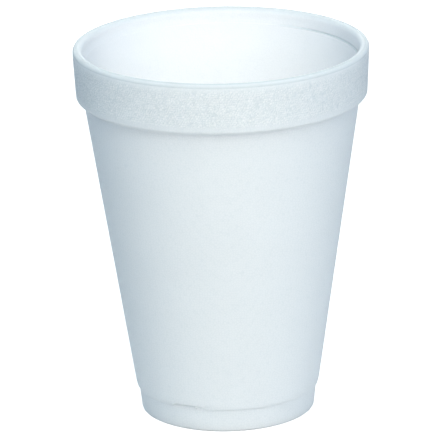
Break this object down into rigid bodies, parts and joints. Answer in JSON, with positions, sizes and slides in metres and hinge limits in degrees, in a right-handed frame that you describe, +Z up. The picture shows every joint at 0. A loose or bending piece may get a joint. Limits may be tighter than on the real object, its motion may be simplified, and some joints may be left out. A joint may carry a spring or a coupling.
{
  "type": "foam cup",
  "caption": "Tall tapered drinking cup of white expanded-bead foam, with a thick rounded collar at the lip and a stepped foot ring.",
  "frame": {"origin": "centre of the foot ring's lower face, on the surface that the cup stands on", "axes": "+Z up along the cup's axis, out of its mouth; the cup is the same all round, apart from a small nick at the end of its body, which faces -Y and a little to -X"},
  "size_m": [0.0888, 0.0888, 0.114],
  "materials": {
    "foam": "moulded expanded-bead foam, cool white, with the outlines of the beads showing faintly on its skin"
  },
  "bodies": {
    "root": {"foam_cup": "foam"}
  },
  "joints": []
}
